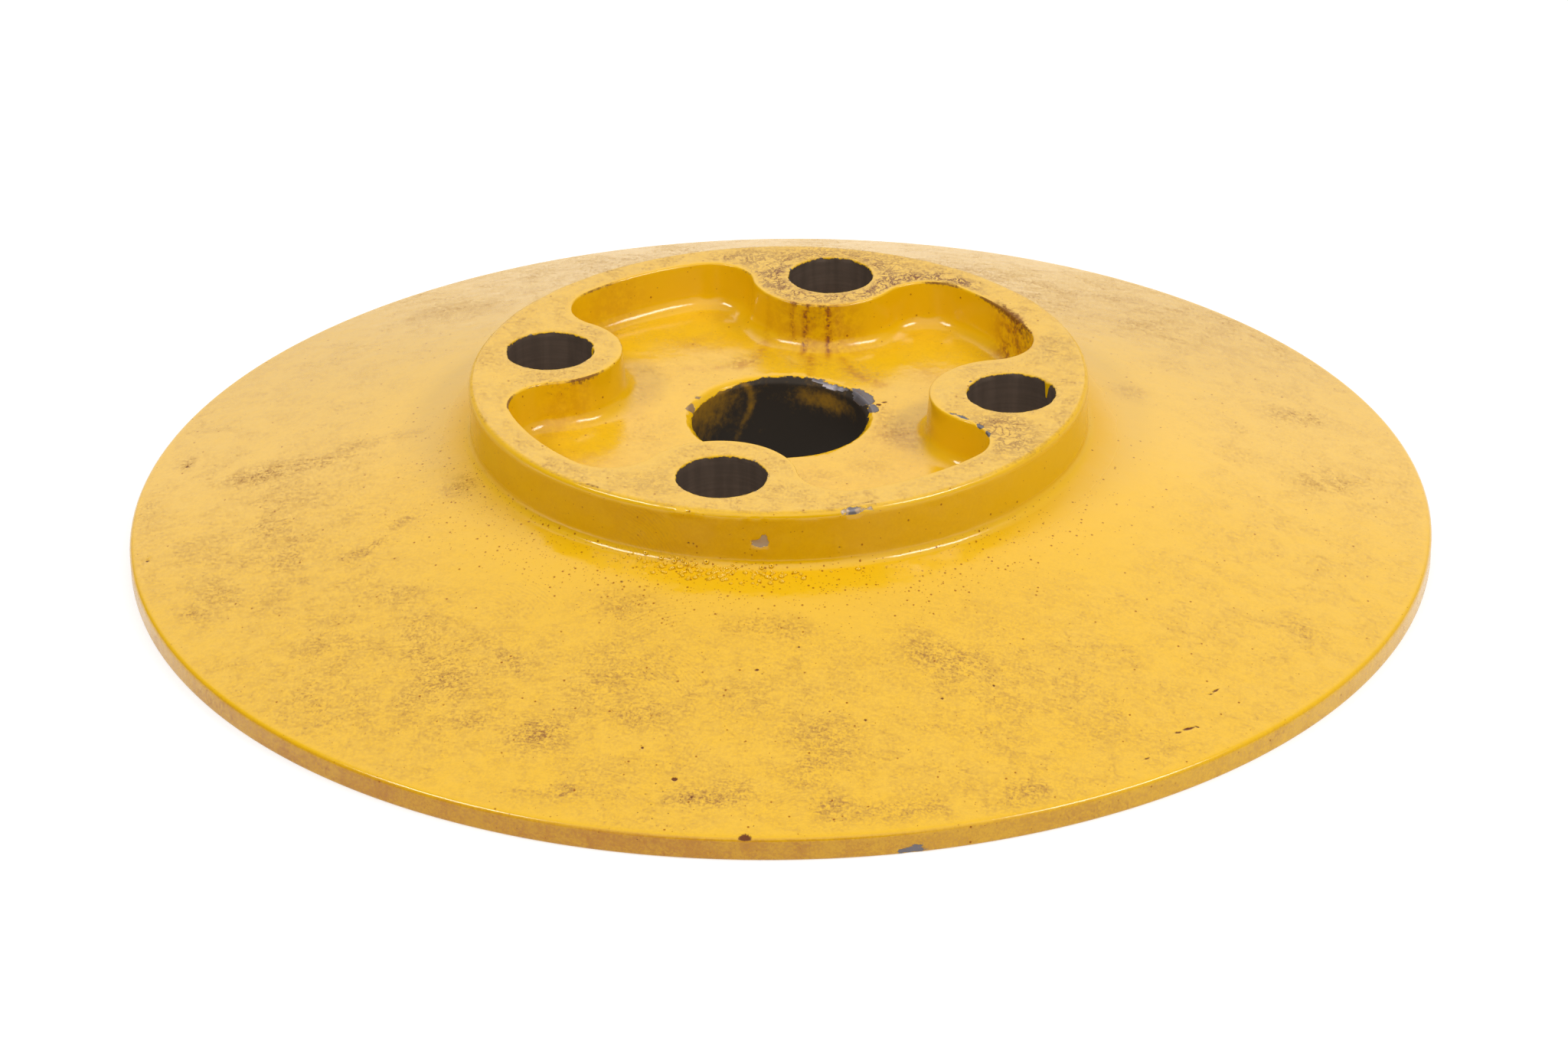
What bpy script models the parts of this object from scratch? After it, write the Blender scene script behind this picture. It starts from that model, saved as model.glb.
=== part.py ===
"""A cast hub flange disc: a conical skirt with a raised, recessed hub that bolts to a spindle flange.

The disc is one casting, so it is one object. It is turned from a profile, and the pocket in the
hub, the centre bore and the bolt holes are then cut from it. Units are metres, +Z is the disc's
axis, and the origin is the centre of the plane that the rim and the boss rest on.
"""

from math import acos, atan2, cos, pi, radians, sin, tan

import bmesh
import bpy
from mathutils import Vector

MM = 0.001

# Skirt and rim
DISC_RADIUS = 90.0 * MM
RIM_THICKNESS = 3.2 * MM
SKIRT_DEPTH = 4.5 * MM  # measured along Z, so the wall itself is a little thinner

# Hub
OVERALL_HEIGHT = 23.4 * MM
HUB_RADIUS = 42.5 * MM
HUB_WALL_HEIGHT = 7.8 * MM  # from the skirt's cone to the hub's top face

# Pocket: a round recess whose wall steps in round each bolt hole as a lug
POCKET_RADIUS = 37.5 * MM
POCKET_DEPTH = 6.8 * MM
POCKET_CORNER = 6.5 * MM  # between the recess wall and a lug
LUG_RADIUS = 10.6 * MM
WALL_DRAFT = radians(4)
WEB_THICKNESS = 5.0 * MM  # the pocket's floor

# Holes
BORE_RADIUS = 12.0 * MM
BORE_CHAMFER = 0.8 * MM
BOLT_CIRCLE_RADIUS = 32.5 * MM
BOLT_HOLE_RADIUS = 6.0 * MM
BOLT_COUNT = 4

# Boss under the web, which carries the bore
BOSS_RADIUS = 19.0 * MM
BOSS_DRAFT = radians(2)

# Radii of the roundings
HUB_EDGE = 0.9 * MM
HUB_FOOT = 1.5 * MM
RIM_EDGE = 0.6 * MM
RIM_LOWER_EDGE = 0.5 * MM
SKIRT_TO_WEB = 5.0 * MM
BOSS_ROOT = 2.5 * MM
POCKET_FLOOR_FILLET = 2.4 * MM

TURN_STEPS = 72
BORE_STEPS = 48
HOLE_STEPS = 24
CORNER_STEPS = 6
LUG_STEPS = 12
RECESS_STEPS = 8
FILLET_STEPS = 3
EDGE_STEPS = 2
LOWER_EDGE_STEPS = 1
ROOT_STEPS = 2
CLEAR = 1.5 * MM  # how far a cutter runs past the face that it cuts
SHARP_ANGLE = radians(30)

# Heights that follow from the sizes above
HUB_FOOT_Z = OVERALL_HEIGHT - HUB_WALL_HEIGHT
FLOOR_Z = OVERALL_HEIGHT - POCKET_DEPTH
WEB_UNDER_Z = FLOOR_Z - WEB_THICKNESS
SKIRT_SLOPE = (HUB_FOOT_Z - RIM_THICKNESS) / (DISC_RADIUS - HUB_RADIUS)

PAINT_COLOUR = (0.83, 0.38, 0.012, 1.0)
PAINT_ROUGHNESS = 0.35


def clear_scene():
    for obj in list(bpy.data.objects):
        bpy.data.objects.remove(obj)


def painted_metal():
    material = bpy.data.materials.new("yellow_enamel")
    material.use_nodes = True
    shader = material.node_tree.nodes["Principled BSDF"]
    shader.inputs["Base Color"].default_value = PAINT_COLOUR
    shader.inputs["Roughness"].default_value = PAINT_ROUGHNESS
    shader.inputs["Metallic"].default_value = 0.0
    return material


def add_mesh(name, vertices, edges=()):
    mesh = bpy.data.meshes.new(name)
    mesh.from_pydata(vertices, edges, [])
    obj = bpy.data.objects.new(name, mesh)
    bpy.context.scene.collection.objects.link(obj)
    return obj


def arc(centre, radius, start, end, steps):
    """steps + 1 points of a circle's arc, from angle start to angle end."""
    angles = [start + (end - start) * i / steps for i in range(steps + 1)]
    return [(centre[0] + radius * cos(a), centre[1] + radius * sin(a)) for a in angles]


def rounded_profile(corners):
    """The points of an outline whose corners are (radius, height, rounding, steps)."""
    points = []
    for i, (r, z, rounding, steps) in enumerate(corners):
        if not rounding:
            points.append((r, z))
            continue
        corner = Vector((r, z))
        before = (Vector(corners[i - 1][:2]) - corner).normalized()
        after = (Vector(corners[i + 1][:2]) - corner).normalized()
        half = before.angle(after) / 2
        centre = corner + (before + after).normalized() * (rounding / sin(half))
        first = corner + before * (rounding / tan(half)) - centre
        last = corner + after * (rounding / tan(half)) - centre
        start = atan2(first.y, first.x)
        turn = (atan2(last.y, last.x) - start + pi) % (2 * pi) - pi
        points += arc(centre, rounding, start, start + turn, steps)
    return points


def turned(name, profile, steps):
    """A solid of revolution. Its profile runs from the axis, down the outer side, back to the axis."""
    edges = [(i, i + 1) for i in range(len(profile) - 1)]
    obj = add_mesh(name, [(r, 0, z) for r, z in profile], edges)
    screw = obj.modifiers.new("turn", "SCREW")
    screw.axis = "Z"
    screw.angle = 2 * pi
    screw.steps = steps
    screw.render_steps = steps
    screw.use_merge_vertices = True
    screw.merge_threshold = 1e-6
    return obj


def skirt_z(radius):
    """Height of the skirt's upper cone at this distance from the axis."""
    return RIM_THICKNESS + (DISC_RADIUS - radius) * SKIRT_SLOPE


def disc_profile():
    land_radius = DISC_RADIUS - (SKIRT_DEPTH - RIM_THICKNESS) / SKIRT_SLOPE
    web_radius = DISC_RADIUS - (WEB_UNDER_Z + SKIRT_DEPTH - RIM_THICKNESS) / SKIRT_SLOPE
    boss_root_radius = BOSS_RADIUS + WEB_UNDER_Z * tan(BOSS_DRAFT)
    return rounded_profile(
        [
            (0, OVERALL_HEIGHT, 0, 0),
            (HUB_RADIUS, OVERALL_HEIGHT, HUB_EDGE, EDGE_STEPS),
            (HUB_RADIUS, skirt_z(HUB_RADIUS), HUB_FOOT, FILLET_STEPS),
            (DISC_RADIUS, RIM_THICKNESS, RIM_EDGE, EDGE_STEPS),
            (DISC_RADIUS, 0, RIM_LOWER_EDGE, LOWER_EDGE_STEPS),
            (land_radius, 0, 0, 0),
            (web_radius, WEB_UNDER_Z, SKIRT_TO_WEB, ROOT_STEPS),
            (boss_root_radius, WEB_UNDER_Z, BOSS_ROOT, ROOT_STEPS),
            (BOSS_RADIUS, 0, RIM_LOWER_EDGE, LOWER_EDGE_STEPS),
            (0, 0, 0, 0),
        ]
    )


def pocket_outline(inset):
    """The pocket's outline, moved inwards by inset. It runs anticlockwise, seen from above.

    A corner's centre doesn't move with the inset: it stays one corner radius from the recess's
    wall and from the lug.
    """
    pitch = BOLT_CIRCLE_RADIUS
    corner_reach = POCKET_RADIUS - POCKET_CORNER
    lug_reach = LUG_RADIUS + POCKET_CORNER
    across = (pitch**2 + corner_reach**2 - lug_reach**2) / (2 * pitch)
    corner_angle = acos(across / corner_reach)
    flank_angle = acos((pitch - across) / lug_reach)

    def corner(facing, side, start, end):
        """The rounding on one side of a lug: side is -1 before it and 1 after it."""
        place = facing + side * corner_angle
        centre = (corner_reach * cos(place), corner_reach * sin(place))
        return arc(centre, POCKET_CORNER - inset, start, end, CORNER_STEPS)

    points = []
    for i in range(BOLT_COUNT):
        facing = 2 * pi * i / BOLT_COUNT
        hole = (pitch * cos(facing), pitch * sin(facing))
        flank_start = facing - pi + flank_angle
        flank_end = facing - pi - flank_angle
        recess_start = facing + corner_angle
        recess_end = facing + 2 * pi / BOLT_COUNT - corner_angle
        points += corner(facing, -1, facing - corner_angle, facing + flank_angle)
        points += arc(hole, LUG_RADIUS + inset, flank_start, flank_end, LUG_STEPS)[1:-1]
        points += corner(facing, 1, facing - flank_angle, recess_start)
        points += arc((0, 0), POCKET_RADIUS - inset, recess_start, recess_end, RECESS_STEPS)[1:-1]
    return points


def pocket_levels():
    """(height, inset) of each outline of the pocket's cutter, from above the hub to the floor."""
    fillet_top = FLOOR_Z + POCKET_FLOOR_FILLET
    wall_end = fillet_top - POCKET_FLOOR_FILLET * sin(WALL_DRAFT)
    drafted = (OVERALL_HEIGHT - wall_end) * tan(WALL_DRAFT)
    levels = [(OVERALL_HEIGHT + CLEAR, -CLEAR * tan(WALL_DRAFT))]
    for i in range(FILLET_STEPS + 1):
        angle = WALL_DRAFT + (pi / 2 - WALL_DRAFT) * i / FILLET_STEPS
        inset = drafted + POCKET_FLOOR_FILLET * (cos(WALL_DRAFT) - cos(angle))
        levels.append((fillet_top - POCKET_FLOOR_FILLET * sin(angle), inset))
    return levels


def pocket_cutter():
    build = bmesh.new()
    loops = []
    for height, inset in pocket_levels():
        loops.append([build.verts.new((x, y, height)) for x, y in pocket_outline(inset)])
    build.faces.new(loops[0])
    build.faces.new(reversed(loops[-1]))
    for upper, lower in zip(loops, loops[1:]):
        for i in range(len(upper)):
            build.faces.new((upper[i - 1], lower[i - 1], lower[i], upper[i]))
    cutter = add_mesh("cutter_pocket", [])
    bmesh.ops.recalc_face_normals(build, faces=build.faces)
    build.to_mesh(cutter.data)
    build.free()
    return cutter


def bore_cutter():
    chamfered = BORE_RADIUS + BORE_CHAMFER
    return turned(
        "cutter_bore",
        [
            (0, FLOOR_Z + CLEAR),
            (chamfered + CLEAR, FLOOR_Z + CLEAR),
            (BORE_RADIUS, FLOOR_Z - BORE_CHAMFER),
            (BORE_RADIUS, -CLEAR),
            (0, -CLEAR),
        ],
        BORE_STEPS,
    )


def bolt_hole_cutter(index):
    facing = 2 * pi * index / BOLT_COUNT
    cutter = turned(
        f"cutter_bolt_hole_{index + 1}",
        [
            (0, OVERALL_HEIGHT + CLEAR),
            (BOLT_HOLE_RADIUS, OVERALL_HEIGHT + CLEAR),
            (BOLT_HOLE_RADIUS, WEB_UNDER_Z - CLEAR),
            (0, WEB_UNDER_Z - CLEAR),
        ],
        HOLE_STEPS,
    )
    cutter.location = (BOLT_CIRCLE_RADIUS * cos(facing), BOLT_CIRCLE_RADIUS * sin(facing), 0)
    return cutter


def cut(body, cutter):
    cutter.hide_render = True
    cutter.display_type = "WIRE"
    boolean = body.modifiers.new(cutter.name, "BOOLEAN")
    boolean.operation = "DIFFERENCE"
    boolean.solver = "EXACT"
    boolean.object = cutter


def apply_modifiers(obj):
    """Gives the object its cut mesh, shaded smooth between its sharp edges, and drops the cutters."""
    graph = bpy.context.evaluated_depsgraph_get()
    mesh = bpy.data.meshes.new_from_object(obj.evaluated_get(graph))
    cutters = [modifier.object for modifier in obj.modifiers if modifier.type == "BOOLEAN"]
    obj.modifiers.clear()
    obj.data = mesh
    mesh.shade_smooth()
    mesh.set_sharp_from_angle(angle=SHARP_ANGLE)
    for cutter in cutters:
        bpy.data.objects.remove(cutter)


def disc_casting():
    disc = turned("disc_casting", disc_profile(), TURN_STEPS)
    disc.data.materials.append(painted_metal())
    cut(disc, pocket_cutter())
    cut(disc, bore_cutter())
    for index in range(BOLT_COUNT):
        cut(disc, bolt_hole_cutter(index))
    apply_modifiers(disc)
    return disc


clear_scene()
disc_casting()
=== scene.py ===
"""The looks of the hub flange disc: one casting in worn yellow enamel, with bare holes and grime.

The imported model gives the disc's place and overall size. The casting is built again here at a fine
resolution, with rounded edges, ragged paint at every hole, drips, chips and blisters in its mesh,
and takes the CAD node's place. Lengths are in millimetres until the mesh is handed over. Angles are
in degrees, anticlockwise from +X seen from above, and the camera and lights have their own.
"""

from math import acos, atan2, cos, pi, radians, sin, sqrt, tan

import bmesh
import bpy
import numpy as np
from mathutils import Matrix, Vector, geometry, noise


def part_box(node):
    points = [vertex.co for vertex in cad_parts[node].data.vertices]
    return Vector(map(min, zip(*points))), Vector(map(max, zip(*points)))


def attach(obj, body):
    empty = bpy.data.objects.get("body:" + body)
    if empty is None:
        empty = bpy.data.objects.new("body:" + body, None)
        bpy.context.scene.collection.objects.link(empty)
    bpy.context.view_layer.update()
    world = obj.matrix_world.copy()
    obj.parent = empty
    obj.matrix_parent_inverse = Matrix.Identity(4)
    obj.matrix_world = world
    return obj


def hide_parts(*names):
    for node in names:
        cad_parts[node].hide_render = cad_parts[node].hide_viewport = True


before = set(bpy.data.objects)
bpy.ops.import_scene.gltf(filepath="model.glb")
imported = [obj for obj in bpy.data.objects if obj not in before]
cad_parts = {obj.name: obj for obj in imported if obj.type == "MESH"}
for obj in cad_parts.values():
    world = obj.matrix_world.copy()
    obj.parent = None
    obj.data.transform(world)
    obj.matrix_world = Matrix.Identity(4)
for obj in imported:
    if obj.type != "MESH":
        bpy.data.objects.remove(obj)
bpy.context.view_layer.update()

MM = 0.001

# Sizes of the casting. The outside diameter and the height come from the CAD node's box.
low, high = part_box("disc_casting")
DISC_RADIUS = high.x / MM
HUB_Z = high.z / MM
RIM_THICKNESS = 3.2
RIM_EDGE = 0.8
SKIRT_DEPTH = 4.5
HUB_RADIUS = 42.5
HUB_WALL_HEIGHT = 7.8
HUB_EDGE = 0.8
HUB_FOOT = 1.5
POCKET_RADIUS = 37.5
POCKET_DEPTH = 6.8
POCKET_CORNER = 6.5
POCKET_EDGE = 0.32
POCKET_FILLET = 2.4
POCKET_SHIFT = np.array((-0.6, 0.0))  # a cast pocket sits a little off the machined holes
LUG_RADIUS = 10.6
WALL_DRAFT = radians(4)
WEB_THICKNESS = 5.0
BORE_RADIUS = 12.0
BORE_CHAMFER = 0.8
BOLT_CIRCLE_RADIUS = 32.5
BOLT_HOLE_RADIUS = 6.0
BOLT_COUNT = 4
BOSS_RADIUS = 19.0
BOSS_DRAFT = radians(2)
BOSS_ROOT = 2.5
SKIRT_TO_WEB = 5.0
LOWER_EDGE = 0.4

FLOOR_Z = HUB_Z - POCKET_DEPTH
WEB_UNDER_Z = FLOOR_Z - WEB_THICKNESS
FOOT_Z = HUB_Z - HUB_WALL_HEIGHT
SKIRT_SLOPE = (FOOT_Z - RIM_THICKNESS) / (DISC_RADIUS - HUB_RADIUS)

# How closely the mesh is divided: angles between its turned loops, points round a loop, and spacings
BLISTER_SECTOR = (-110.0, -62.0)  # the front of the hub, where its chips and blisters are
SECTOR_STEP = 0.25
TURN_STEP = 0.9
HOLE_STEPS = 128
BORE_STEPS = 256
UNDERSIDE_STEPS = 240
SKIRT_SPACING = 1.19
HUB_SPACING = 0.9
LAND_SPACING = 1.6
WEB_SPACING = 1.8
MARK_SPACING = 0.22
MARK_MARGIN = 0.35

# Blisters at the hub's foot: a middle and a spread for their azimuth and their distance from the
# axis, the least and greatest radius, and (share of the radius, height in radii) of their rings
BLISTER_COUNT = 150
BLISTER_AZIMUTH = (-86, 9)
BLISTER_REACH = (44.0, 0.8)
BLISTER_REACH_LIMITS = (42.7, 46.5)
BLISTER_RADIUS = (0.16, 0.42)
BLISTER_RINGS = ((1.0, -0.15), (0.86, 0.4), (0.6, 0.68), (0.36, 0.7), (0.16, 0.3))

# How far the paint runs down: in each bolt hole, and in the bore at its bare and its painted side
PAINT_IN_HOLES = 0.14
PAINT_IN_BORE = 0.1
MORE_PAINT_IN_BORE = 0.7
BORE_REACH = 20.0  # holes nearer the axis than this are the bore, and the rest are bolt holes
NO_MARK = -2.0  # what a point that is far from every mark carries

# Where the photograph looks from. Azimuth 0 stands at -Y and looks along +Y.
CAMERA_AZIMUTH = 13.62
CAMERA_ELEVATION = 27.49
CAMERA_DISTANCE = 661.1
CAMERA_ROLL = -0.756
CAMERA_LENS = 108.8
AIM_OFFSET = 0.49  # the view's middle lies this far beside the disc's axis

# The floor and the lights, in metres. The floor ends just in front of the disc.
FLOOR_REACH = 4
FLOOR_FRONT = 0.14
FLOOR_GREY = 0.4
FLOOR_GLOW = 0.6
# Each is (name, azimuth to the right of the camera, elevation, distance, width, height, radiance).
SOFTBOXES = [
    ("right_softbox", 66, 47, 1.2, 0.60, 0.20, 16),
    ("left_softbox", -67, 46, 1.2, 0.54, 0.18, 17),
]
STUDIO_STRENGTH = 3.8
# How bright the studio is along two lines through it: (cosine of the angle to that line, radiance)
STUDIO_DEPTH = [
    (-1.0, 0.8), (-0.88, 1.4), (-0.3, 1.08), (0.1, 1.02), (0.55, 1.5), (0.84, 1.5), (0.95, 0.0),
]
STUDIO_WIDTH = [(-0.68, 0.1), (-0.33, 1.0), (0.33, 1.0), (0.72, 0.35)]


# ---- marks

# Each is (x, y, half length, half width, angle). These lie on the faces that look up.
# Chips through the paint on the hub's top face
TOP_CHIPS = [
    (18.95, -37.9, 1.05, 0.62, 26), (25.8, -7.8, 0.7, 0.3, -25), (27.5, -8.7, 0.8, 0.25, -30),
    (30.3, -10.9, 0.8, 0.3, -50), (31.7, -12.8, 0.8, 0.28, -62), (26.5, 2.3, 0.25, 0.4, 0),
]
# Flakes where the paint has come away down to the primer
FLAKES = [
    (17.75, -38.35, 0.35, 0.2, 22), (20.4, -37.1, 0.6, 0.14, 28),
]
# Chips at the bore's mouth
BORE_CHIPS = [
    (10.0, 8.4, 2.8, 1.15, -52), (12.2, 5.0, 1.3, 0.7, -68), (4.5, 11.5, 3.4, 0.35, -22),
    (-12.6, 0.4, 1.2, 0.45, 88), (-12.4, 3.4, 0.5, 0.3, 60),
]
# Dark pits and nicks in the paint
PITS = [
    (5.5, -80.4, 0.42, 0.34, 0), (0.2, -75.8, 0.22, 0.22, 0), (11.2, -60.1, 0.36, 0.2, 20),
    (12.1, -60.6, 0.16, 0.12, 0), (35.0, -59.0, 0.24, 0.2, 0), (40.8, -54.6, 0.24, 0.2, 0),
    (15.5, -55.0, 0.2, 0.18, 0), (26.5, -65.5, 0.24, 0.2, 0), (8.3, -83.0, 0.24, 0.2, 0),
    (67.7, -44.2, 0.7, 0.16, 60), (67.2, -45.2, 0.4, 0.12, 30), (65.6, -53.0, 1.0, 0.22, 42),
    (64.4, -54.3, 0.6, 0.16, 30), (66.6, -52.2, 0.4, 0.14, 0), (61.5, -60.6, 0.5, 0.14, 45),
    (3.4, -81.5, 0.15, 0.13, 0), (4.6, -82.6, 0.13, 0.12, 0), (2.6, -83.4, 0.16, 0.13, 0),
    (5.2, -84.3, 0.12, 0.12, 0), (3.7, -85.0, 0.15, 0.12, 0), (6.2, -86.1, 0.15, 0.13, 0),
    (2.4, -86.6, 0.14, 0.12, 0), (4.4, -87.3, 0.16, 0.13, 0), (7.1, -83.6, 0.12, 0.12, 0),
    (26.3, -74.4, 0.14, 0.13, 0), (32.8, -69.0, 0.13, 0.12, 0), (17.0, -86.2, 0.16, 0.14, 0),
    (-83.7, -9.5, 0.2, 0.35, 15), (-80.0, -36.0, 0.3, 0.2, 0), (-76.5, -45.0, 0.3, 0.2, 0),
    (17.8, -42.8, 0.2, 0.18, 0), (-18.3, -40.4, 0.24, 0.2, 0), (-10.0, -46.9, 0.26, 0.16, 10),
    (12.7, 6.3, 0.4, 0.3, 0), (13.3, 7.2, 0.5, 0.2, 30), (6.0, -33.5, 0.3, 0.2, 60),
]
# Lines wiped or scratched clean in the grime
SCRATCHES = [
    (10.2, -67.5, 4.6, 0.14, 68), (7.0, -74.5, 3.6, 0.14, 70), (12.8, -58.2, 3.4, 0.14, 28),
    (7.0, -69.1, 2.2, 0.12, 5), (35.5, -50.6, 5.5, 0.14, -4), (-45.0, -47.0, 8.0, 0.12, 88),
    (17.0, -84.0, 1.6, 0.16, 40), (17.6, -82.9, 0.9, 0.14, 100),
]
# From here each has a strength at its end. Soft grime from hands on the skirt, and painted shade on its
# back:
SMUDGES_AND_SHADE = [
    # Painted shade: wide marks on the skirt's back, like (0, 62), (0, 66) and (48, 70), darken its far side
    (-58, -32, 22, 24, 0, 0.4), (-34, -64, 20, 14, -30, 0.45), (4, -66, 24, 16, 0, 0.35),
    (0, 62, 60, 16, 0, 0.9), (42, -52, 20, 24, 0, 0.35), (11, -52.5, 7, 2.5, 5, 1.2),
    (33.5, -51.5, 7, 4, -15, 1.2), (21, -53.5, 6, 3, 0, 0.5), (-7, -62, 6, 9, 0, 0.8),
    (-2, -70.5, 5, 4, 0, 0.8), (-9.3, -51.3, 6, 3.5, 0, 0.9), (12.3, -57.3, 5, 4, 0, 0.6),
    (5, -66, 7, 6, 0, 0.4), (22, -70.5, 5, 6, 0, 0.6), (22, -75, 5, 4, 0, 0.7),
    (10, -83, 6, 2.0, 5, 1.1), (14, -81, 4, 2.5, 0, 0.9), (26, -81, 4, 2.2, 10, 1.1),
    (35, -79, 5, 1.8, 20, 1.1), (48.5, -71.8, 4, 2.2, 30, 0.9), (62.6, -58.3, 4, 3, 45, 0.5),
    (-71, -15.7, 4.5, 3.5, 0, 1.3), (-63, -14.5, 8, 2.4, 8, 1.1), (-57, -10.6, 6, 2.0, 15, 1.0),
    (-50.6, -9.5, 3, 1.5, 10, 1.1), (-59, -39, 3, 5, 0, 1.1), (-64.5, -31, 4, 3, 20, 0.9),
    (-47.2, -38.7, 3.5, 1.4, 38, 1.6), (-44, -33, 2.5, 1.0, 42, 1.6), (-38.5, -26, 3, 3, 0, 1.1),
    (-83.7, -8.6, 0.9, 1.6, 10, 1.7), (-85.4, -22, 1.4, 4, 0, 1.0), (-66.5, -47, 6, 3, -30, 0.8),
    (-69, -50, 4, 2, -30, 0.9), (-40.6, -49, 5, 3, 0, 0.7), (-33.7, -58, 4, 6, 0, 0.9),
    (-28.8, -65.6, 4, 6, 20, 1.1), (-22.8, -72.7, 6, 2.4, 5, 0.9), (-14, -75.6, 4.5, 2.6, 0, 1.2),
    (-46.5, -58.5, 3, 3, 0, 0.8), (-20.3, -62.6, 4, 3, 0, 0.8), (-9.5, -84.3, 4, 1.4, 5, 1.3),
    (-32, -68.4, 5, 4, 0, 0.6), (-44.6, -71, 8, 4, -30, 0.6), (68, 34, 4, 2.5, 20, 1.2),
    (75, 15, 5, 3, 40, 1.0), (48, 70, 6, 4, 0, 1.0), (76, -27, 5, 4, 0, 0.6),
    (45, 24, 2.5, 3, 0, 1.0), (-60, 42, 8, 6, 0, 0.8), (0, 66, 26, 9, 0, 0.8),
    (40, 56, 9, 5, -30, 0.8), (-30, 70, 9, 5, 20, 0.8), (16.6, -1.6, 3.5, 4, 0, 1.0),
    (14.1, 2.7, 2.5, 2.5, 0, 0.9), (20, -4.5, 3, 2.5, 0, 0.7), (16, -11, 3, 4, 0, 0.5),
    (8, -17.4, 6, 2, 20, 0.6), (-17, -9, 4, 4, 0, 0.6), (-23, 6, 4, 6, 0, 0.4),
    (-8, 16.5, 4, 2, 40, 0.9), (8, 16, 4, 2.4, -35, 0.9), (0, 16.5, 4, 1.5, 0, 0.9),
]
# Dark dirt on the hub's top face and the pocket's wall. The number before the strength is how deep
# it runs down the wall.
DIRT = [
    (27.6, 25.0, 6.4, 1.1, -52, 1.6, 1.05), (30.6, 19.6, 3.2, 1.0, -70, 6.5, 0.75),
    (-29.0, -9.4, 2.5, 1.2, 30, 4.5, 0.55), (-30.5, 7.5, 1.0, 0.5, 0, 0.6, 0.9),
    (-15.8, -38.6, 1.6, 0.4, -25, 0.6, 1.0), (8.5, 25.5, 2.5, 1.5, 45, 7.0, 0.5),
    (1.5, 26.8, 2.2, 1.0, 10, 0.7, 0.9), (16.5, 33.6, 3.6, 0.6, -18, 1.2, 1.0),
    (6.5, 30.0, 1.2, 4.0, 0, 0.7, 0.7), (20.3, -35.8, 1.2, 0.4, 40, 0.6, 0.8),
    (22.5, 33.5, 7.0, 0.5, -34, 0.5, 0.7), (1.0, -38.5, 2.4, 0.5, 0, 0.6, 0.9),
    (0.0, -25.8, 3.0, 0.4, 0, 0.5, 0.7), (29.5, 21.5, 5.5, 1.8, -62, 4.0, 0.85),
    (0.0, 21.8, 5.5, 1.0, 0, 6.5, 0.55), (-22.0, 28.0, 9.0, 1.2, 33, 1.6, 0.6),
    (-27.0, -9.0, 4.5, 1.2, 45, 3.0, 0.55),
]
# Thin lines of dirt along the pocket's edge
EDGE_DIRT = [
    (-33.5, -16.8, 1.5, 3.2, 0, 1.2), (-30.3, -11.6, 3.0, 1.5, 35, 1.1),
    (-25.4, -7.3, 3.6, 1.5, 50, 1.4), (-29.5, 22.3, 6.0, 1.5, 46, 1.2),
    (-26.0, 25.3, 1.8, 1.5, 45, 1.5), (-12.2, 30.6, 1.8, 1.5, -55, 1.0),
    (0.0, 22.0, 7.0, 1.5, 0, 0.9), (15.5, 33.2, 4.5, 1.6, -22, 1.2),
    (25.0, 27.8, 5.5, 1.8, -47, 1.4), (30.6, 21.0, 3.0, 1.5, -62, 1.1),
    (-24.5, 5.0, 3.0, 1.5, -60, 0.8),
]
# Rusty stains in the pocket
STAINS = [
    (-1.2, 21.8, 0.6, 3.0, 4, 1.5), (2.0, 22.0, 0.55, 3.0, 6, 1.6), (-3.2, 22.2, 0.4, 2.6, 0, 1.1),
    (29.0, 21.0, 7.5, 1.6, -62, 1.3), (-27.5, -9.5, 4.5, 1.4, 40, 0.4),
    (-30.0, 21.5, 6.5, 1.4, 60, 0.4), (-7.3, 20.0, 4.4, 0.8, 88, 0.8),
    (-8.6, 15.2, 2.6, 1.0, 60, 0.7), (-13.0, 12.8, 4.0, 0.8, 15, 0.5),
    (0.4, 18.0, 6.5, 0.7, -81, 0.9), (3.4, 22.5, 3.6, 0.6, -73, 0.9),
    (5.8, 17.4, 3.6, 0.6, -60, 0.9), (9.8, 13.8, 3.0, 0.7, -25, 1.0),
    (11.6, 12.4, 1.0, 0.8, 0, 1.1), (1.0, 22.6, 7.5, 2.2, 0, 0.6),
    (-16.0, 20.0, 6.0, 3.0, 20, 0.35), (20.0, 17.0, 6.0, 3.0, -20, 0.35),
    (30.0, 16.0, 5.0, 1.6, 75, 0.8), (-22.0, -18.0, 5.0, 4.0, 0, 0.3),
    (17.5, -3.0, 4.5, 4.0, 0, 0.35),
]
# Fine crackled dirt on the hub's top face
CRACKLE = [
    (0.0, 31.5, 11.5, 9.0, 0, 1.3), (11.0, 31.0, 4.0, 6.0, -20, 1.3),
    (-13.0, 35.5, 5.0, 3.0, 20, 0.7), (17.0, 34.0, 5.0, 2.2, -25, 1.3),
    (34.0, -12.5, 7.0, 4.0, -60, 0.75), (29.5, -22.0, 4.0, 2.0, -45, 0.4),
    (-8.0, -36.0, 5.0, 3.0, 0, 0.35), (26.0, 8.0, 3.0, 5.0, 0, 0.3),
    (36.0, 15.0, 3.0, 5.0, 0, 0.35),
]
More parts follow.
